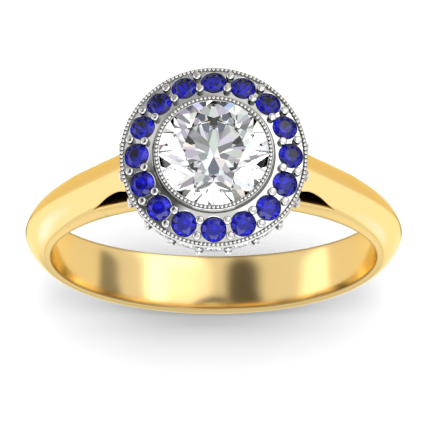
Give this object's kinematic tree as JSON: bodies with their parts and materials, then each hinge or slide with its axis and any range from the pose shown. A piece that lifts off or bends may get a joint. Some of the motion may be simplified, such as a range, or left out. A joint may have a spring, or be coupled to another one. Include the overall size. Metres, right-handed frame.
{
  "type": "engagement ring",
  "caption": "Two-tone halo ring: yellow-gold cathedral shank with a finger rail, white-metal milgrained head, round centre stone and a ring of blue sapphires",
  "frame": {"origin": "centre of the finger hole", "axes": "Y is the finger hole's axis, Z points from the finger hole up to the centre stone, X runs along the two arms"},
  "size_m": [0.0192, 0.0094, 0.024],
  "materials": {
    "yellow_gold": "mirror-polished 18 carat yellow gold",
    "white_metal": "mirror-polished white gold or platinum",
    "diamond": "polished facets, colourless",
    "sapphire": "polished facets, deep blue"
  },
  "bodies": {
    "root": {"shank": "yellow_gold", "collet": "white_metal", "base_ring": "white_metal", "bezel_milgrain": "white_metal", "halo_plate": "white_metal", "halo_rim_milgrain": "white_metal", "inner_prong_beads": "white_metal", "outer_prong_beads": "white_metal", "gallery_band": "white_metal", "gallery_upper_beads": "white_metal", "gallery_lower_beads": "white_metal", "gallery_struts": "white_metal", "centre_diamond": "diamond", "sapphire_01": "sapphire", "sapphire_02": "sapphire", "sapphire_03": "sapphire", "sapphire_04": "sapphire", "sapphire_05": "sapphire", "sapphire_06": "sapphire", "sapphire_07": "sapphire", "sapphire_08": "sapphire", "sapphire_09": "sapphire", "sapphire_10": "sapphire", "sapphire_11": "sapphire", "sapphire_12": "sapphire", "sapphire_13": "sapphire", "sapphire_14": "sapphire", "sapphire_15": "sapphire", "sapphire_16": "sapphire", "side_diamond_01": "diamond", "side_diamond_02": "diamond", "side_diamond_03": "diamond", "side_diamond_04": "diamond", "side_diamond_05": "diamond", "side_diamond_06": "diamond", "side_diamond_07": "diamond", "side_diamond_08": "diamond", "side_diamond_09": "diamond", "side_diamond_10": "diamond", "side_diamond_11": "diamond", "side_diamond_12": "diamond", "side_diamond_13": "diamond", "side_diamond_14": "diamond", "side_diamond_15": "diamond", "side_diamond_16": "diamond", "side_diamond_17": "diamond", "side_diamond_18": "diamond", "side_diamond_19": "diamond", "side_diamond_20": "diamond"}
  },
  "joints": []
}
